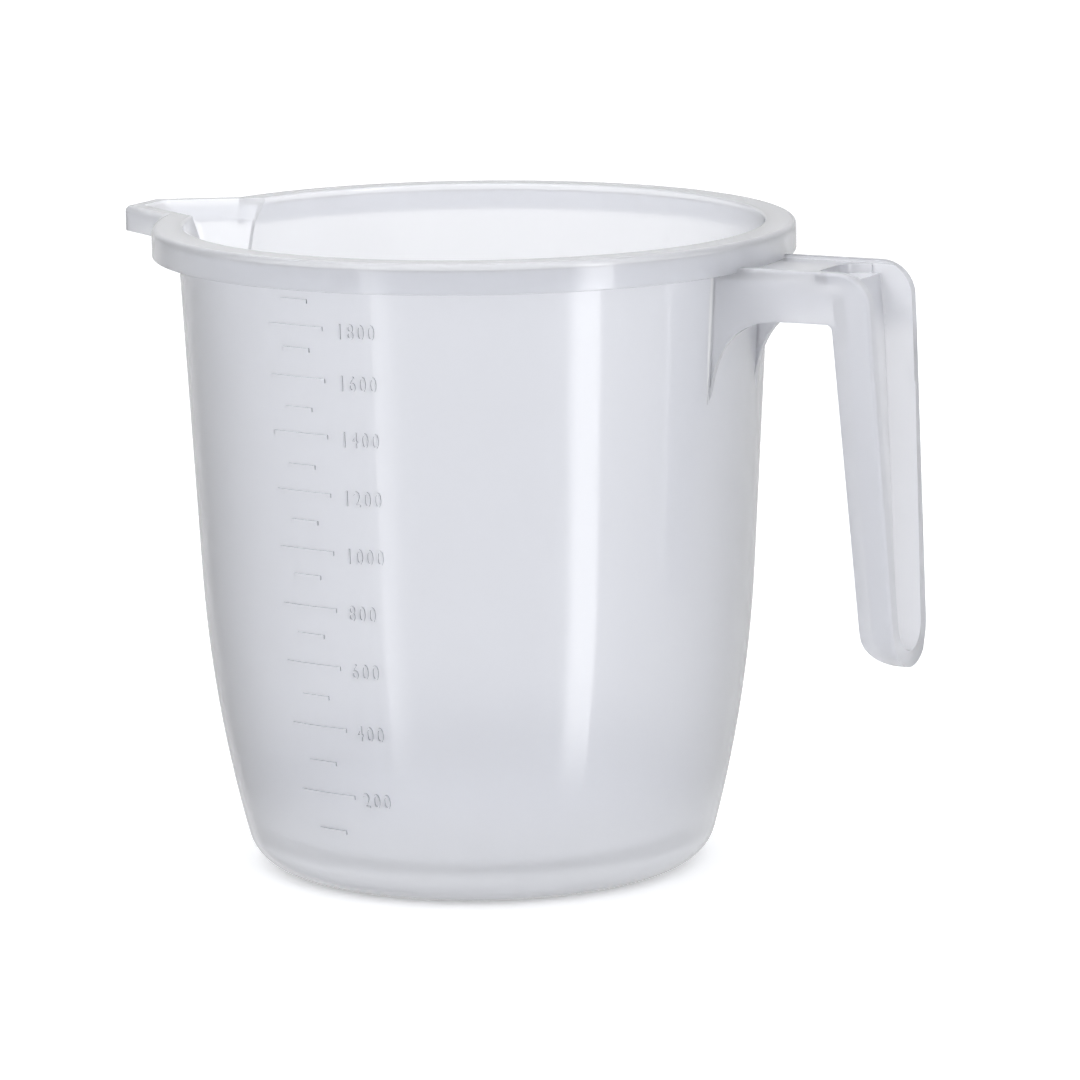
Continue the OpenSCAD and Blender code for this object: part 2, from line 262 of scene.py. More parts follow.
def pick(piece, test, what="vertices"):
    """Selects what the test says of its place, in edit mode."""
    leave_edit()
    mesh = piece.data
    for part in (mesh.vertices, mesh.edges, mesh.polygons):
        part.foreach_set("select", [False] * len(part))
    bpy.ops.object.mode_set(mode="EDIT")
    bpy.ops.mesh.select_mode(type={"vertices": "VERT", "edges": "EDGE", "polygons": "FACE"}[what])
    leave_edit()
    if what == "vertices":
        mesh.vertices.foreach_set("select", [bool(test(v.co / MM)) for v in mesh.vertices])
    elif what == "edges":
        at = [v.co / MM for v in mesh.vertices]
        mesh.edges.foreach_set("select", [bool(test(at[e.vertices[0]], at[e.vertices[1]])) for e in mesh.edges])
    else:
        mesh.polygons.foreach_set("select", [bool(test(f.center / MM, f.normal)) for f in mesh.polygons])
    bpy.ops.object.mode_set(mode="EDIT")


def lofted(name, rings):
    """A closed solid through flat rings of the same number of points, each at its own height."""
    drawn = []
    for i, ring in enumerate(rings):
        drawn.append(draw_line(f"{name}_{i}", ring + ring[:1]))
        bpy.ops.mesh.remove_doubles(threshold=1e-6)
        leave_edit()
    choose(*drawn)
    piece = drawn[0]
    bpy.ops.object.join()
    settle(piece)
    piece.name = piece.data.name = name
    heights = [ring[0][2] for ring in rings]
    edit(piece)
    for low, high in zip(heights, heights[1:]):
        pick(piece, lambda v: abs(v.z - low) < 1e-3 or abs(v.z - high) < 1e-3)
        bpy.ops.mesh.bridge_edge_loops()
    for end in (heights[0], heights[-1]):
        pick(piece, lambda v: abs(v.z - end) < 1e-3)
        bpy.ops.mesh.edge_face_add()
    bpy.ops.mesh.select_all(action="SELECT")
    bpy.ops.mesh.normals_make_consistent(inside=False)
    leave_edit()
    return piece


def combine(piece, other, how, keep=False):
    """Adds other to the piece, cuts it away or keeps what both share."""
    change = piece.modifiers.new(how, "BOOLEAN")
    change.operation = how
    change.solver = "EXACT"
    change.object = other
    choose(piece)
    bpy.ops.object.modifier_apply(modifier=change.name)
    if not keep:
        bpy.data.objects.remove(other)
    return piece


def copied(piece, name):
    """A copy of a piece with its own mesh."""
    choose(piece)
    bpy.ops.object.duplicate(linked=False)
    twin = bpy.context.object
    twin.name = twin.data.name = name
    return twin


def clean(piece):
    """Welds corners that a cut left side by side."""
    edit(piece)
    bpy.ops.mesh.select_all(action="SELECT")
    bpy.ops.mesh.remove_doubles(threshold=WELD)
    bpy.ops.mesh.dissolve_degenerate(threshold=WELD)
    leave_edit()


def smooth(piece, degrees):
    """Smooth shading with sharp edges past an angle, large faces leading."""
    choose(piece)
    bpy.ops.object.shade_smooth_by_angle(angle=radians(degrees))
    flat = piece.modifiers.new("even_shading", "WEIGHTED_NORMAL")
    flat.keep_sharp = True
    flat.weight = 50
    bpy.ops.object.modifier_apply(modifier=flat.name)


# ---------------------------------------------------------------- the raised scale
def wall_lean(z):
    """How far the wall leans from upright at a height."""
    return DRAFT if z > BELLY_TOP else asin((BELLY_C[1] - z) / BELLY_R)


def mark_bar(ml):
    """One raised bar, swept round the wall."""
    z = MARKS[ml]
    turn = (LONG_BAR if ml % 200 == 0 else SHORT_BAR) / wall_radius(z)
    start = BARS_START + turn / 2
    low, high = z - BAR_HALF_H, z + BAR_HALF_H
    ring = [(wall_radius(low) - SUNK, low), (wall_radius(low) + PROUD, low),
            (wall_radius(high) + PROUD, high), (wall_radius(high) - SUNK, high)]
    bar = draw_line(f"bar_{ml}", [(r * cos(start), r * sin(start), h) for r, h in ring], closed=True)
    bpy.ops.mesh.spin(steps=8, angle=turn, center=(0, 0, 0), axis=(0, 0, 1))
    return finished(bar, 1e-6)


def digit(character):
    """One raised digit, flat and upright at the origin."""
    clear_selection()
    bpy.ops.object.text_add(location=(0, 0, 0))
    text = bpy.context.object
    text.data.body = character
    text.data.size = NUMERAL_SIZE * MM
    text.data.extrude = SUNK * MM
    text.data.resolution_u = 3
    text.data.align_x = "CENTER"
    bpy.ops.object.convert(target="MESH")
    shape = bpy.context.object
    shape.name = shape.data.name = f"digit_{character}"
    shape.scale.x = NUMERAL_SQUEEZE
    edit(shape)
    return finished(shape, 1e-6)


def numeral(shapes, ml):
    """The digits of one long bar, each turned and leant to lie on the wall."""
    z = MARKS[ml] - 0.2
    lean = wall_lean(z)
    r = wall_radius(z) + PROUD - SUNK
    digits = []
    for i, character in enumerate(str(ml)):
        at = NUMERALS_START + NUMERAL_PITCH * (i + 0.35) / wall_radius(z)
        one = copied(shapes[character], f"numeral_{ml}_{i}")
        one.rotation_euler = (pi / 2 + lean, 0, at + pi / 2)
        one.location = Vector((r * cos(at), r * sin(at), z - NUMERAL_DROP)) * MM
        one.location += Vector((cos(at), sin(at), 0)) * (-NUMERAL_DROP * tan(lean) * MM)
        digits.append(one)
    return digits


def scale():
    """Bars and numerals of the scale, as one set of closed solids."""
    parts = [mark_bar(ml) for ml in MARKS]
    shapes = {c: digit(c) for c in "012468"}
    for ml in MARKS:
        if ml % 200 == 0:
            parts += numeral(shapes, ml)
    for shape in shapes.values():
        bpy.data.objects.remove(shape)
    choose(*parts)
    bpy.ops.object.transform_apply(location=True, rotation=True, scale=True)
    bpy.ops.object.join()
    parts[0].name = parts[0].data.name = "scale"
    return parts[0]


def mark_flanks(jug):
    """Gives the sides of the bars and numerals a dark material: painted shade for the light their flanks turn aside.
    """
    for face in jug.data.polygons:
        c, n = face.center / MM, face.normal
        if not SCALE_LOW < c.z < SCALE_TOP or c.y > 0 or abs(c.x) > SCALE_SIDE:
            continue
        r = sqrt(c.x ** 2 + c.y ** 2)
        wall = wall_radius(c.z)
        if wall + 0.03 < r < wall + PROUD + 0.1 and (n.x * c.x + n.y * c.y) / r < 0.7:
            face.material_index = 1


# ---------------------------------------------------------------- the jug's body
def vessel():
    """Floor, wall, foot ring and round rim, turned in one."""
    inside = [(0, FLOOR_Z), (20, FLOOR_Z), (40, FLOOR_Z)]
    inside += arc(FILLET_C, FLOOR_FILLET, pi / 2, FILLET_LEAN, 9)
    inside += arc(BELLY_C, BELLY_R - WALL, FILLET_LEAN, DRAFT, 14)[1:]
    inside += [(wall_radius(z) - WALL / cos(DRAFT), z) for z in STRAIGHT_Z]
    top = arc((MOUTH_IN_R + MOUTH_EDGE, RIM_H - MOUTH_EDGE), MOUTH_EDGE, -pi, -pi / 2, 4)
    top += arc((RIM_R - RIM_EDGE, RIM_H - RIM_EDGE), RIM_EDGE, -pi / 2, 0, 6)
    skirt_in = RIM_R - SKIRT_T
    skirt = [(RIM_R, SKIRT_Z + SKIRT_EDGE), (RIM_R - 0.1, SKIRT_Z + 0.08), (RIM_R - SKIRT_EDGE, SKIRT_Z),
             (skirt_in + SKIRT_EDGE, SKIRT_Z), (skirt_in + 0.1, SKIRT_Z + 0.08), (skirt_in, SKIRT_Z + SKIRT_EDGE),
             (skirt_in, FLANGE_Z - SKIRT_ROOT), (skirt_in - 0.2, FLANGE_Z - 0.2), (skirt_in - SKIRT_ROOT, FLANGE_Z),
             (MOUTH_R + SKIRT_ROOT, FLANGE_Z), (MOUTH_R + 0.15, FLANGE_Z - 0.2)]
    outside = [(wall_radius(z), z) for z in (FLANGE_Z - 0.8, *STRAIGHT_Z[::-1])]
    outside += arc(BELLY_C, BELLY_R, DRAFT, BELLY_LEAN, 14)
    outside += arc(CORNER_C, CORNER_R, BELLY_LEAN, pi / 2, 10)[1:]
    recess_r = CORNER_C[0] - FOOT_W
    foot = [(recess_r + 0.4, 0), (recess_r + 0.1, 0.1), (recess_r, 0.4), (recess_r, RECESS_H - 0.9),
            (recess_r - 0.25, RECESS_H - 0.25), (recess_r - 0.9, RECESS_H), (38, RECESS_H), (20, RECESS_H),
            (0, RECESS_H)]
    return turned("jug_body", inside + top + skirt + outside + foot)


def lip_ring(tip_inset, side_inset, corner, root, z):
    """The lip's outline in plan, drawn in, with rounded corners at the tip."""
    tip = LIP_REACH - tip_inset
    half = LIP_HALF_W - side_inset / cos(LIP_SIDE) + tip_inset * tan(LIP_SIDE)
    cx, cy = -(tip - corner), half - corner * (1 - sin(LIP_SIDE)) / cos(LIP_SIDE)
    turn = pi / 2 - LIP_SIDE
    near = [(cx + corner * cos(pi + turn * i / 7), -cy + corner * sin(pi + turn * i / 7)) for i in range(8)]
    root_y = half + (tip - root) * tan(LIP_SIDE)
    ring = [(x, -y) for x, y in near[::-1]] + near + [(-root, -root_y), (-root, root_y)]
    return [(x, y, z) for x, y in ring]


def runout_ring(radius, z, front):
    """The small round end in which the channel runs out into the wall."""
    turn = pi / 2 - LIP_SIDE
    cx, cy = -(front - radius), 0.2
    near = [(cx + radius * cos(pi + turn * i / 7), -cy + radius * sin(pi + turn * i / 7)) for i in range(8)]
    x, y = near[-1]
    ring = [(a, -b) for a, b in near[::-1]] + near + [(x + 9, y - 9 * tan(LIP_SIDE)), (x + 9, -y + 9 * tan(LIP_SIDE))]
    return [(a, b, z) for a, b in ring]


def lip_block():
    """The lip's outside: a flat top with a rounded edge, and the edge turned down round it."""
    top = RIM_H - SEAT
    rings = [lip_ring(0.2, 0.2, LIP_CORNER - 0.2, LIP_ROOT, LIP_SKIRT_Z),
             lip_ring(0, 0, LIP_CORNER, LIP_ROOT, LIP_SKIRT_Z + 0.2)]
    for i in range(7):
        t = pi / 2 * i / 6
        inset = RIM_EDGE * (1 - cos(t))
        rings.append(lip_ring(inset, inset, LIP_CORNER - inset, LIP_ROOT, top - RIM_EDGE * (1 - sin(t))))
    block = lofted("lip_block", rings)
    under = lofted("lip_hollow", [lip_ring(SKIRT_T, SKIRT_T, LIP_CORNER - SKIRT_T, LIP_ROOT - 5, z)
                                  for z in (UNDER_SKIRT, FLANGE_Z - 2 * SEAT)])
    combine(block, under, "DIFFERENCE")
    edge_core = cylinder_between("edge_core", RIM_R - SKIRT_T + 0.2, UNDER_SKIRT, FLANGE_Z - 0.1)
    return combine(block, edge_core, "DIFFERENCE")


def lip_space(name, grow):
    """What the lip's mouth takes out, with a rounded edge, or with grow the outside of its channel."""
    def ring(tip_inset, side_inset, corner, z):
        return lip_ring(tip_inset, side_inset, corner, LIP_ROOT - 10, z)

    top_set = LIP_FLAT - grow
    side = RIM_R - MOUTH_IN_R - grow
    if grow:
        share = 0.25
        rings = [ring(top_set + share * (POUR_SET - LIP_FLAT), top_set + share * (side - top_set), LIP_CORNER,
                      RIM_H - share * (RIM_H - POUR_Z))]
    else:
        rings = [ring(top_set - MOUTH_EDGE, top_set - MOUTH_EDGE, LIP_CORNER + 0.3, RIM_H + 3)]
        for i in range(4):
            t = pi / 2 * i / 4
            w = MOUTH_EDGE * (1 - sin(t))
            rings.append(ring(top_set - w, top_set - w, LIP_CORNER + w / 2, RIM_H - MOUTH_EDGE * (1 - cos(t)) - 0.001))
        rings.append(ring(top_set, top_set, LIP_CORNER, RIM_H - MOUTH_EDGE))
    front = wall_radius(RUNOUT_Z) - WALL + grow + (0.1 if grow else 0)
    rings.append(ring(POUR_SET - grow, side, LIP_CORNER, POUR_Z))
    rings.append(runout_ring(RUNOUT_R + grow, RUNOUT_Z, front))
    if grow:
        rings.append(runout_ring(RUNOUT_R + grow, RUNOUT_Z - 3, front - 1.6))
    return lofted(name, rings)


def cylinder_between(name, radius, low, high):
    """An upright cylinder round the axis, from one height to another."""
    return turned(name, [(0, low), (radius, low), (radius, high), (0, high)])


def gate(name, inset, low, high):
    """What opens the round rim towards the lip."""
    cut = lofted(name, [lip_ring(inset, inset, 1, LIP_ROOT + 5, z) for z in (low, high)])
    return combine(cut, cylinder_between(name + "_core", 75, 130, FAR), "DIFFERENCE")


def body():
    """The vessel with its scale, rim and pouring lip, in one."""
    jug = vessel()
    combine(jug, scale(), "UNION")
    # what lies inside the middle of the wall, which the lip's parts must leave free
    core = turned("core", [(0, 2)] + [(wall_radius(z) - WALL / 2, z) for z in range(20, 165, 12)] + [(0, FAR + 5)])
    combine(jug, gate("skirt_gate", SKIRT_T / 2, 148, FLANGE_Z - SEAT), "DIFFERENCE")
    combine(jug, gate("top_gate", 1.7, FLANGE_Z - 0.5, 162), "DIFFERENCE")
    block = lip_block()
    combine(block, core, "DIFFERENCE", keep=True)
    combine(jug, block, "UNION")
    channel = lip_space("channel", WALL)
    combine(channel, core, "DIFFERENCE")
    combine(jug, channel, "UNION")
    return combine(jug, lip_space("lip_mouth", 0), "DIFFERENCE")


# ---------------------------------------------------------------- the handle
def open_x(z):
    """Where the grip's open side stands at a height."""
    return REACH + (ARM_Z - z) * tan(OPEN_LEAN)


def back_x(z):
    """Where the grip's inner side, next to the fingers, stands at a height."""
    return GRIP_IN_X + (UNDER_Z - z) * tan(BACK_LEAN)


def front_prism(name, inset, narrower=0):
    """The handle's width in Y and Z with its rounded lower end, made solid along X."""
    half = HANDLE_W - inset
    end_half = HANDLE_W - (UNDER_Z - TIP_Z - HANDLE_W) * tan(TAPER) - inset - narrower
    low = [(end_half * cos(t), END_Z - end_half * sin(t))
           for t in [pi - TAPER - (pi - 2 * TAPER) * i / 20 for i in range(21)]]
    outline = [(-half, FAR), (-half, TAPER_Z)] + low + [(half, TAPER_Z), (half, FAR)]
    return prism(name, [(40, y, z) for y, z in outline], (100, 0, 0))


def soften(piece, test, width, steps):
    """Rounds the edges that the test names."""
    pick(piece, test, "edges")
    bpy.ops.mesh.bevel(offset=width * MM, offset_type="OFFSET", segments=steps, profile=0.5, affect="EDGES")
    bpy.ops.mesh.select_all(action="SELECT")
    bpy.ops.mesh.remove_doubles(threshold=1e-6)
    leave_edit()


def half_width(z):
    """Half the handle's width at a height, outside."""
    if z > TAPER_Z:
        return HANDLE_W
    return HANDLE_W - (TAPER_Z - z) * tan(TAPER) if z > END_Z else 0


def root_x(z):
    """Where a cheek's outer face meets the wall."""
    return sqrt(wall_radius(z) ** 2 - HANDLE_W ** 2)


def root_fillet(name, side):
    """The small fillet between a cheek and the wall, thinner down the gusset."""
    rings = []
    for z, leg in ROOT_FILLET:
        radius, corner = wall_radius(z), Vector((root_x(z), -HANDLE_W))
        turn = asin(-HANDLE_W / radius) - leg / radius
        start, stop = corner + Vector((leg, 0.02)), Vector((radius * cos(turn), radius * sin(turn)))
        ring = [corner + Vector((leg, 0.4))]
        for i in range(5):
            k = i / 4
            ring.append(start * (1 - k) ** 2 + corner * (2 * k * (1 - k)) + stop * k ** 2)
        ring += [stop * (1 - 0.6 / radius), corner + Vector((-0.7, 0.4))]
        rings.append([(v.x, v.y * side, z) for v in ring][::side])
    return lofted(name, rings)


def handle_side():
    """The handle's outline in X and Z: arm, elbow, grip and gusset."""
    tip_c = (back_x(TIP_Z + TIP_R) + TIP_R, TIP_Z + TIP_R)
    low = arc(tip_c, TIP_R, pi / 2, pi, 8)
    below = TIP_Z - 0.8
    side = [(60, ARM_Z)] + arc(ELBOW_C, ELBOW_R, -pi / 2, OPEN_LEAN, 10)
    side += [(open_x(below), below), (low[0][0] + 0.8, below)] + low
    side += arc((GRIP_IN_X - INNER_R, UNDER_Z - INNER_R), INNER_R, 0, -pi / 2, 4)
    # the gusset leaves the arm in a wide curve and runs out along the wall
    for t in [pi / 2 * i / 18 for i in range(19)]:
        z = UNDER_Z - GUSSET_Z * (1 - cos(t) ** (2 / 3))
        side.append((root_x(z) + GUSSET_X * (1 - sin(t) ** (2 / 3)), z))
    return side + [(60, UNDER_Z - GUSSET_Z)]


def on_outer_edge(v):
    """Whether a corner lies on the outer edge of the arm's top, the elbow or the grip's open side."""
    on_open = v.x > open_x(v.z) - 0.15
    if v.z <= END_Z + 0.01:
        return on_open
    from_elbow = Vector((v.x - ELBOW_C[0], v.z - ELBOW_C[1]))
    on_elbow = v.x > ELBOW_C[0] and v.z > ELBOW_C[1] - 0.5 and abs(from_elbow.length - ELBOW_R) < 0.05
    return abs(v.y) >= half_width(v.z) - 0.02 and (v.z > ARM_Z - 0.02 or on_open or on_elbow)


def cut_arm(grip):
    """Hollow of the arm, open below; room over its plate; the slot before the elbow."""
    inside = HANDLE_W - CHEEK
    under = SLOT_Z - WEB
    arm = [(INSIDE_X, 100), (88, 100), (88, 138), (GRIP_IN_X - 0.3, 138.9), (GRIP_IN_X - 0.02, UNDER_Z + 0.3),
           (back_x(under), under), (SLOT_X - WEB, under), (SLOT_X - WEB, SLOT_Z), (INSIDE_X, SLOT_Z)]
    combine(grip, side_prism("arm_hollow", arm, inside), "DIFFERENCE")
    room = [(INSIDE_X, PLATE_Z), (BEYOND_X, PLATE_Z), (BEYOND_X, FAR), (INSIDE_X, FAR)]
    combine(grip, side_prism("plate_room", room, inside), "DIFFERENCE")
    slot_w = inside - SLOT_EDGE
    plan = []
    for t in [pi / 2 * i / 9 for i in range(10)]:
        plan.append((SLOT_X + SLOT_END_R - SLOT_END_R * cos(t), slot_w - SLOT_END_R + SLOT_END_R * sin(t)))
    plan = [(x, -y) for x, y in plan[::-1]] + plan + [(BEYOND_X, slot_w), (BEYOND_X, -slot_w)]
    combine(grip, prism("slot", [(x, y, SLOT_Z) for x, y in plan], (0, 0, 12)), "DIFFERENCE")


def grip_hollow():
    """Hollow of the grip, open to the outside, with a thicker pad at the elbow."""
    bend = TIP_Z + TIP_R
    web_in = WEB / cos(BACK_LEAN)
    end_x = SLOT_X + 6.5
    room = [(end_x, FAR - 5), (end_x, SLOT_Z), (back_x(SLOT_Z) + web_in, SLOT_Z), (back_x(bend) + web_in, bend)]
    room += arc((back_x(bend) + TIP_R, bend), TIP_R - WEB, pi, pi / 2, 8)[1:]
    room += [(BEYOND_X + 5, bend - TIP_R + WEB), (BEYOND_X + 5, FAR - 5)]
    hollow = side_prism("grip_hollow", room, BLANK_HALF_W)
    combine(hollow, front_prism("grip_width", CHEEK, GROOVE_NARROWS), "INTERSECT")
    pad = [(99, FAR), (99, 139.2)] + arc(PAD_C, PAD_R, radians(-72), radians(2), 12)
    pad += [(BEYOND_X + 10, 124), (BEYOND_X + 10, FAR)]
    pads = side_prism("pads", pad, BLANK_HALF_W)
    combine(pads, front_prism("pad_gap", CHEEK + PAD, 0.9), "DIFFERENCE")
    combine(hollow, pads, "DIFFERENCE")
    clean(hollow)

    def along_web(a, b):
        on_web = max(a.x - back_x(a.z), b.x - back_x(b.z)) < web_in + 0.05
        return on_web and min(abs(a.y), abs(b.y)) > 4 and abs(a.z - b.z) > 3 and max(a.z, b.z) < SLOT_Z + 0.1

    soften(hollow, along_web, GROOVE_R, 3)
    return hollow


def handle():
    """Arm and grip, one channel that is open below and then outwards."""
    grip = side_prism("jug_handle", handle_side(), BLANK_HALF_W)
    combine(grip, front_prism("handle_width", 0), "INTERSECT")
    clean(grip)

    def outer(a, b):
        one_side = a.y * b.y > 0.5 and max(a.x, b.x) > 61 and min(a.z, b.z) > END_Z - 7.5
        return one_side and on_outer_edge(a) and on_outer_edge(b)

    soften(grip, outer, EDGE_R, 3)
    cut_arm(grip)
    combine(grip, grip_hollow(), "DIFFERENCE")
    combine(grip, root_fillet("fillet_near", 1), "UNION")
    combine(grip, root_fillet("fillet_far", -1), "UNION")
    # where the handle meets the vessel
    edge = [(0, 90)] + [(wall_radius(z) - SEAT, z) for z in (90, 110, 125, 140, SKIRT_CUT_Z)]
    edge += [(RIM_R - SEAT, SKIRT_CUT_Z), (RIM_R - SEAT, FAR), (0, FAR)]
    return combine(grip, turned("vessel_side", edge), "DIFFERENCE")


def mark_handle(grip):
    """Gives the elbow's pads their own milkier material, and the root at the wall a lighter one, painted light that
    lifts the shade in the corner.
    """
    for face in grip.data.polygons:
        c, n = face.center / MM, face.normal
        vessel_r = wall_radius(c.z) if c.z < SKIRT_CUT_Z else RIM_R
        # the fillet and the faces at the wall take the lighter look, painted light in the corner
        if abs(c.y) > HANDLE_W + 0.005 or sqrt(c.x ** 2 + c.y ** 2) < vessel_r + 0.02:
            face.material_index = 2
        elif abs(n.y) > 0.9 and c.x > 99 and abs(abs(c.y) - HANDLE_W + CHEEK + PAD) < 0.1 and c.z > 123:
            face.material_index = 1


# ---------------------------------------------------------------- plastic
def node_kit(tree):
    """Short calls for a chain of Math and Map Range nodes."""
    def put(socket, value):
        if isinstance(value, (int, float)):
            socket.default_value = value
        else:
            tree.links.new(value, socket)

    def maths(operation, first, second=0.0):
        node = tree.nodes.new("ShaderNodeMath")
        node.operation = operation
        put(node.inputs[0], first)
        put(node.inputs[1], second)
        return node.outputs[0]

    def ramp(value, start, stop):
        """0 at start, 1 at stop, smooth between them."""
        node = tree.nodes.new("ShaderNodeMapRange")
        node.interpolation_type = "SMOOTHSTEP"
        put(node.inputs["Value"], value)
        put(node.inputs["From Min"], min(start, stop))
        put(node.inputs["From Max"], max(start, stop))
        put(node.inputs["To Min"], float(start > stop))
        put(node.inputs["To Max"], float(start < stop))
        return node.outputs["Result"]

    return maths, ramp


def vessel_haze(maths, ramp, axes):
    """The floor, foot, rim and lip are thicker, so milkier."""
    x, z = axes.outputs["X"], axes.outputs["Z"]
    foot = maths("MULTIPLY", ramp(z, 30 * MM, 9 * MM), FOOT_HAZE)
    base = maths("MULTIPLY", ramp(z, 9.5 * MM, FLOOR_Z * MM), BASE_HAZE)
    rim = maths("MULTIPLY", ramp(z, 147 * MM, 154 * MM), RIM_HAZE)
    lip = maths("MULTIPLY", ramp(x, -55 * MM, -64 * MM), LIP_HAZE)
    lip = maths("MULTIPLY", ramp(z, 120 * MM, 138 * MM), lip)
    return maths("ADD", maths("ADD", foot, base), maths("MAXIMUM", rim, lip))


def grip_haze(maths, ramp, axes):
    """Painted light: the far cheek of the grip is made clearer than the near one, so that it reads lighter as if lit
    from behind, and the top of the arm is made clearer, so that its plate and the cheeks' top edges read lighter, a
    painted highlight.
    """
    x, y, z = (axes.outputs[a] for a in "XYZ")
    grip = maths("MULTIPLY", ramp(z, 141 * MM, 134 * MM), ramp(x, 84 * MM, 92 * MM))
    side = maths("MULTIPLY", maths("MULTIPLY", ramp(y, -4 * MM, 9 * MM), grip), PAINTED_BACKLIGHT_HAZE)
    return maths("ADD", side, maths("MULTIPLY", ramp(z, 149 * MM, 151.3 * MM), PAINTED_TOP_LIGHT_HAZE))


def plastic(name, look, haze=None):
    """Natural polypropylene: clear at heart, hazy, with the faint unevenness of a moulded wall."""
    colour, roughness, clearness = look
    material = bpy.data.materials.new(name)
    material.use_nodes = True
    nodes, links = material.node_tree.nodes, material.node_tree.links
    maths, ramp = node_kit(material.node_tree)
    place = nodes.new("ShaderNodeTexCoord")

    def noise(size):
        node = nodes.new("ShaderNodeTexNoise")
        node.inputs["Scale"].default_value = size
        links.new(place.outputs["Object"], node.inputs["Vector"])
        return node

    def bump(height, strength, distance):
        node = nodes.new("ShaderNodeBump")
        node.inputs["Strength"].default_value = strength
        node.inputs["Distance"].default_value = distance
        links.new(height.outputs["Fac"], node.inputs["Height"])
        return node

    shader = nodes["Principled BSDF"]
    shader.inputs["IOR"].default_value = 1.49
    shader.inputs["Coat Weight"].default_value = 1
    shader.inputs["Coat Roughness"].default_value = 0.08
    # clouds in the haze, as the melt froze
    clouds = noise(38)
    clouds.inputs["Detail"].default_value = 3
    tint = nodes.new("ShaderNodeMix")
    tint.data_type = "RGBA"
    tint.inputs["A"].default_value = (*[c * 0.985 for c in colour], 1)
    tint.inputs["B"].default_value = (*colour, 1)
    links.new(clouds.outputs["Fac"], tint.inputs["Factor"])
    links.new(tint.outputs["Result"], shader.inputs["Base Color"])
    spread = maths("MULTIPLY", maths("SUBTRACT", clouds.outputs["Fac"], 0.5), UNEVEN)
    links.new(maths("ADD", maths("MULTIPLY", spread, UNEVEN_GLOSS), roughness), shader.inputs["Roughness"])
    axes = nodes.new("ShaderNodeSeparateXYZ")
    links.new(place.outputs["Object"], axes.inputs["Vector"])
    thin = maths("SUBTRACT", clearness, haze(maths, ramp, axes)) if haze else clearness
    links.new(maths("ADD", spread, thin), shader.inputs["Transmission Weight"])
    # the tool's polish: long shallow waves, and a grain too fine to see
    shallow = bump(noise(25), 0.12, 0.0001)
    polish = bump(noise(900), 0.1, 0.00002)
    links.new(shallow.outputs["Normal"], polish.inputs["Normal"])
    links.new(polish.outputs["Normal"], shader.inputs["Normal"])
    return material


# ---------------------------------------------------------------- studio
def background(nodes, colour, strength):
    node = nodes.new("ShaderNodeBackground")
    node.inputs["Color"].default_value = (*colour, 1)
    node.inputs["Strength"].default_value = strength
    return node


def mixed(tree, share, first, second):
    """A Mix Shader between two shader outputs."""
    node = tree.nodes.new("ShaderNodeMixShader")
    for socket, value in zip(node.inputs, (share, first, second)):
        tree.links.new(value, socket)
    return node.outputs["Shader"]


def surroundings():
    """White paper to the eye and through the plastic, a plain room for light, boxes and a dim room for the gloss."""
    world = bpy.data.worlds.new("studio")
    bpy.context.scene.world = world
    world.use_nodes = True
    tree = world.node_tree
    nodes, links = tree.nodes, tree.links
    nodes.remove(nodes["Background"])
    maths, ramp = node_kit(tree)
    path = nodes.new("ShaderNodeLightPath")
    room = background(nodes, (0.97, 0.98, 1), ROOM)
    paper = background(nodes, (1, 1, 1), 1)
    around = background(nodes, (0.98, 0.985, 1), 1)
    place = nodes.new("ShaderNodeTexCoord")
    axes = nodes.new("ShaderNodeSeparateXYZ")
    links.new(place.outputs["Generated"], axes.inputs["Vector"])
    turn = maths("DEGREES", maths("ARCTAN2", axes.outputs["Y"], axes.outputs["X"]))
    tall = maths("MULTIPLY", ramp(axes.outputs["Z"], -0.56, -0.44), ramp(axes.outputs["Z"], 0.8, 0.6))
    total = DIM
    for level, (low, full), (last, high) in BOXES:
        box = maths("MULTIPLY", ramp(turn, low, full), ramp(turn, high, last))
        if level > 1:
            box = maths("MULTIPLY", box, tall)
        total = maths("ADD", total, maths("MULTIPLY", box, level))
    links.new(total, around.inputs["Strength"])
    gloss = mixed(tree, path.outputs["Is Glossy Ray"], room.outputs[0], around.outputs[0])
    straight = maths("MAXIMUM", path.outputs["Is Camera Ray"], path.outputs["Is Transmission Ray"])
    seen = mixed(tree, straight, gloss, paper.outputs[0])
    links.new(seen, nodes["World Output"].inputs["Surface"])


def paper_floor():
    """White paper that keeps the jug's soft shadow; through the plastic it is as white as the backdrop."""
    clear_selection()
    bpy.ops.mesh.primitive_plane_add(size=6, location=(0, 0, -0.0002))
    floor = bpy.context.object
    floor.name = floor.data.name = "floor"
    floor.visible_glossy = False
    material = bpy.data.materials.new("floor_paper")
    material.use_nodes = True
    tree = material.node_tree
    nodes, links = tree.nodes, tree.links
    maths = node_kit(tree)[0]
    sheet = nodes["Principled BSDF"]
    sheet.inputs["Base Color"].default_value = (0.98, 0.98, 0.98, 1)
    sheet.inputs["Roughness"].default_value = 1
    sheet.inputs["Specular IOR Level"].default_value = 0
    path = nodes.new("ShaderNodeLightPath")
    glow = nodes.new("ShaderNodeEmission")
    links.new(maths("MULTIPLY", path.outputs["Is Camera Ray"], FLOOR_GLOW), glow.inputs["Strength"])
    lit = nodes.new("ShaderNodeAddShader")
    links.new(sheet.outputs["BSDF"], lit.inputs[0])
    links.new(glow.outputs["Emission"], lit.inputs[1])
    through = nodes.new("ShaderNodeEmission")
    seen = mixed(tree, path.outputs["Is Transmission Ray"], lit.outputs["Shader"], through.outputs["Emission"])
    links.new(seen, nodes["Material Output"].inputs["Surface"])
    floor.data.materials.append(material)


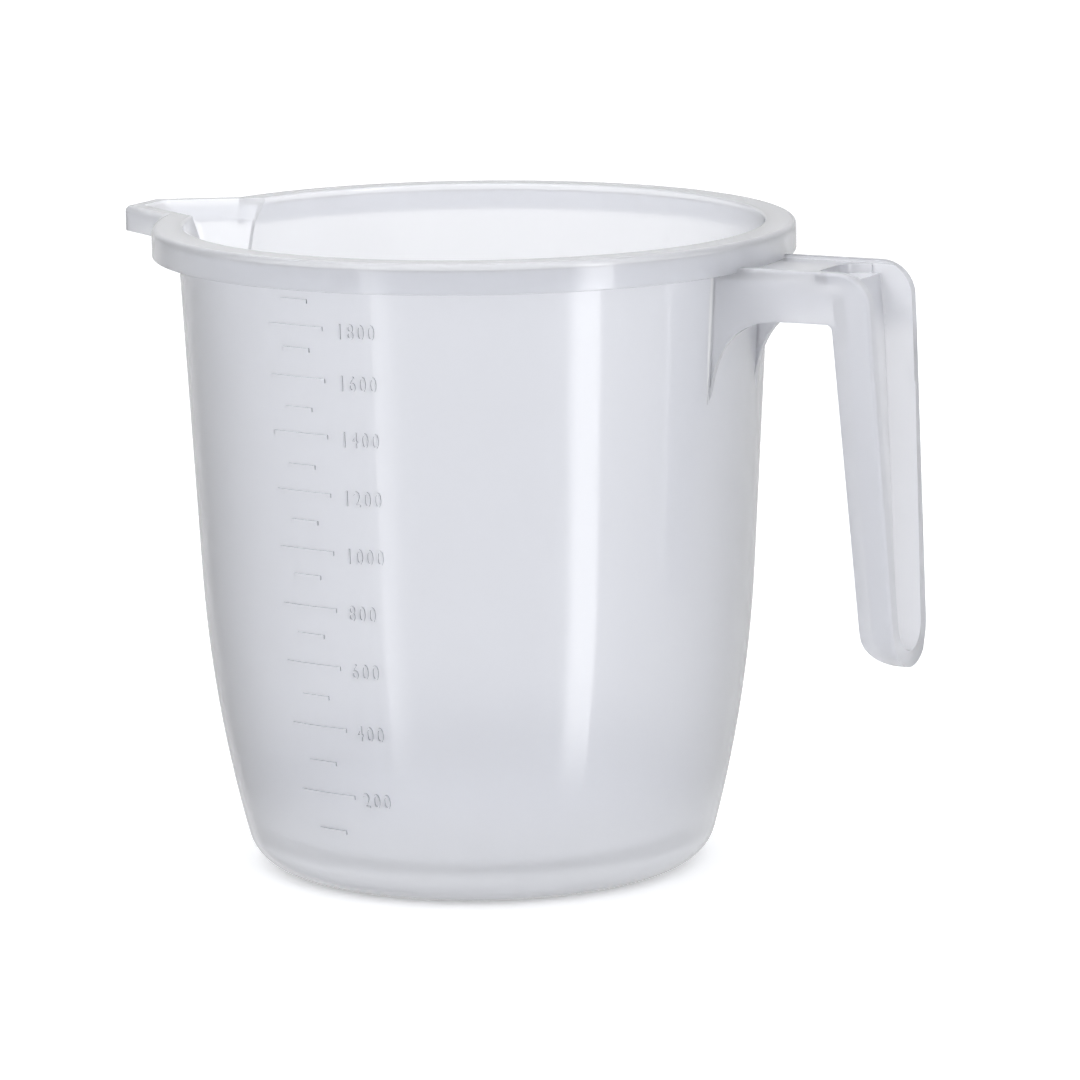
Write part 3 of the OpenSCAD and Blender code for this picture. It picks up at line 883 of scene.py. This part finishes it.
def lamps():
    """Soft lamps that light the jug and are never seen themselves."""
    for name, at, aim, size, power in LAMPS:
        lamp = bpy.data.lights.new(name, "AREA")
        lamp.shape = "RECTANGLE"
        lamp.size, lamp.size_y = size
        lamp.energy = power
        holder = bpy.data.objects.new(name, lamp)
        holder.location = at
        holder.rotation_euler = (Vector(at) - Vector(aim)).to_track_quat("Z", "Y").to_euler()
        holder.visible_camera = holder.visible_glossy = holder.visible_transmission = False
        bpy.context.scene.collection.objects.link(holder)


def camera():
    """The camera that was fitted to the photograph: millimetres, pixels and degrees."""
    distance, height, focal, picture_w = 1436.687, 347.909, 5932.657, 1080
    yaw, pan, pitch, roll = (radians(a) for a in (27.387, -0.605, 10.608, -0.697))
    heading = yaw + pan
    ahead = Vector((-sin(heading) * cos(pitch), cos(heading) * cos(pitch), -sin(pitch)))
    right = Vector((cos(heading), sin(heading), 0))
    up = Vector((-sin(heading) * sin(pitch), cos(heading) * sin(pitch), cos(pitch)))
    across = right * cos(roll) + up * sin(roll)
    over = up * cos(roll) - right * sin(roll)
    data = bpy.data.cameras.new("camera")
    data.sensor_width = 36
    data.lens = 36 * focal / picture_w
    data.clip_start, data.clip_end = 0.05, 20
    lens = bpy.data.objects.new("camera", data)
    turn = Matrix((across, over, -ahead)).transposed().to_4x4()
    place = Vector((distance * sin(yaw), -distance * cos(yaw), height)) * MM
    lens.matrix_world = Matrix.Translation(place) @ turn
    bpy.context.scene.collection.objects.link(lens)
    bpy.context.scene.camera = lens


# ---------------------------------------------------------------- the whole scene
jug = body()
grip = handle()
for piece in (jug, grip):
    clean(piece)
    smooth(piece, SHARP)
    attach(piece, "root")
    piece.data.materials.clear()
jug.data.materials.append(plastic("vessel_polypropylene", VESSEL_LOOK, vessel_haze))
grip.data.materials.append(plastic("handle_polypropylene", HANDLE_LOOK, grip_haze))
# the flanks of the raised scale get a dark material, painted shade where light is turned aside
jug.data.materials.append(plastic("scale_flanks_painted_shade", FLANK_SHADE_LOOK))
mark_flanks(jug)
# thicker plastic is milkier: the elbow's pads; the root at the wall gets a lighter, milkier look, painted light that
# lifts the shade in the corner
grip.data.materials.append(plastic("elbow_polypropylene", ELBOW_LOOK))
grip.data.materials.append(plastic("root_painted_light_polypropylene", ROOT_LIGHTENING_LOOK))
mark_handle(grip)
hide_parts("bottom_bowl", "foot_ring", "vessel_wall", "rim_flange", "rim_skirt", "lip_flange", "lip_skirt",
            "lip_channel", "long_marks", "short_marks")
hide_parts("handle_cheek_left", "handle_cheek_right", "handle_top_plate", "handle_web", "handle_tip")
surroundings()
paper_floor()
lamps()
camera()
bpy.context.scene.view_settings.view_transform = "Standard"
